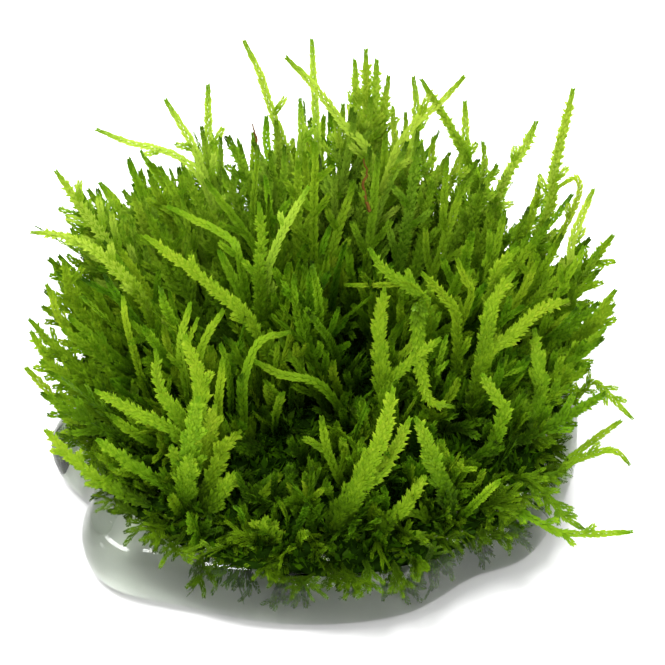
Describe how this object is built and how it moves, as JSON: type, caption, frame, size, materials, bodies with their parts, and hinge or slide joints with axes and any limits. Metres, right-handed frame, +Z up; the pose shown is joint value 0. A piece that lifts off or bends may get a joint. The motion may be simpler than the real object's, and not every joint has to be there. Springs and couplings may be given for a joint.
{
  "type": "moss clump on nutrient gel pad",
  "caption": "Spiky clump of leafy aquarium moss growing in upright tufts from a tangled mat on a round pad of clear nutrient gel; decorative plant for a tank, terrarium or table.",
  "frame": {"origin": "middle of the gel pad's flat underside, on the surface that the clump stands on", "axes": "+Z up out of the moss, -Y towards the clump's front, +X to its right; the front is the side with the pad's large torn swell on its left"},
  "size_m": [0.0672, 0.0601, 0.0421],
  "materials": {
    "nutrient_gel": "clear, slightly grey wet agar gel, smooth and glossy",
    "old_moss": "dark green, damp, tangled old stems and leaves",
    "leafy_moss": "mid to yellow green leafy shoots, slightly translucent leaves with a soft sheen",
    "fresh_moss": "bright yellow-green young shoots, translucent leaves"
  },
  "bodies": {
    "root": {"gel_pad": "nutrient_gel", "moss_mat": "old_moss", "tuft_centre": "leafy_moss", "tuft_inner_01": "leafy_moss", "tuft_inner_02": "leafy_moss", "tuft_inner_03": "leafy_moss", "tuft_inner_04": "leafy_moss", "tuft_inner_05": "leafy_moss", "tuft_inner_06": "leafy_moss", "tuft_middle_01": "leafy_moss", "tuft_middle_02": "leafy_moss", "tuft_middle_03": "leafy_moss", "tuft_middle_04": "leafy_moss", "tuft_middle_05": "leafy_moss", "tuft_middle_06": "leafy_moss", "tuft_middle_07": "leafy_moss", "tuft_middle_08": "leafy_moss", "tuft_middle_09": "leafy_moss", "tuft_middle_10": "leafy_moss", "tuft_middle_11": "leafy_moss", "tuft_middle_12": "leafy_moss", "tuft_outer_01": "leafy_moss", "tuft_outer_02": "leafy_moss", "tuft_outer_03": "leafy_moss", "tuft_outer_04": "leafy_moss", "tuft_outer_05": "leafy_moss", "tuft_outer_06": "leafy_moss", "tuft_outer_07": "leafy_moss", "tuft_outer_08": "leafy_moss", "tuft_outer_09": "leafy_moss", "tuft_outer_10": "leafy_moss", "tuft_outer_11": "leafy_moss", "tuft_outer_12": "leafy_moss", "tuft_outer_13": "leafy_moss", "tuft_outer_14": "leafy_moss", "tuft_outer_15": "leafy_moss", "tuft_outer_16": "leafy_moss", "tuft_outer_17": "leafy_moss", "shoot_back_left_tall": "fresh_moss", "shoot_back_tall": "fresh_moss", "shoot_back_leaning": "fresh_moss", "shoot_back_left_upright": "fresh_moss", "shoot_back_left_slanting": "fresh_moss", "shoot_left_thin_arch": "fresh_moss", "shoot_left_broad": "fresh_moss", "shoot_left_long_arch": "fresh_moss", "shoot_top_diagonal": "fresh_moss", "shoot_top_upright": "fresh_moss", "shoot_back_right_long": "fresh_moss", "shoot_right_thick": "fresh_moss", "shoot_right_tall": "fresh_moss", "shoot_right_short": "fresh_moss", "shoot_right_drooping": "fresh_moss", "shoot_right_straight": "fresh_moss", "shoot_right_curved": "fresh_moss", "shoot_right_front_long": "fresh_moss", "shoot_left_side": "fresh_moss", "shoot_left_front": "fresh_moss"}
  },
  "joints": []
}
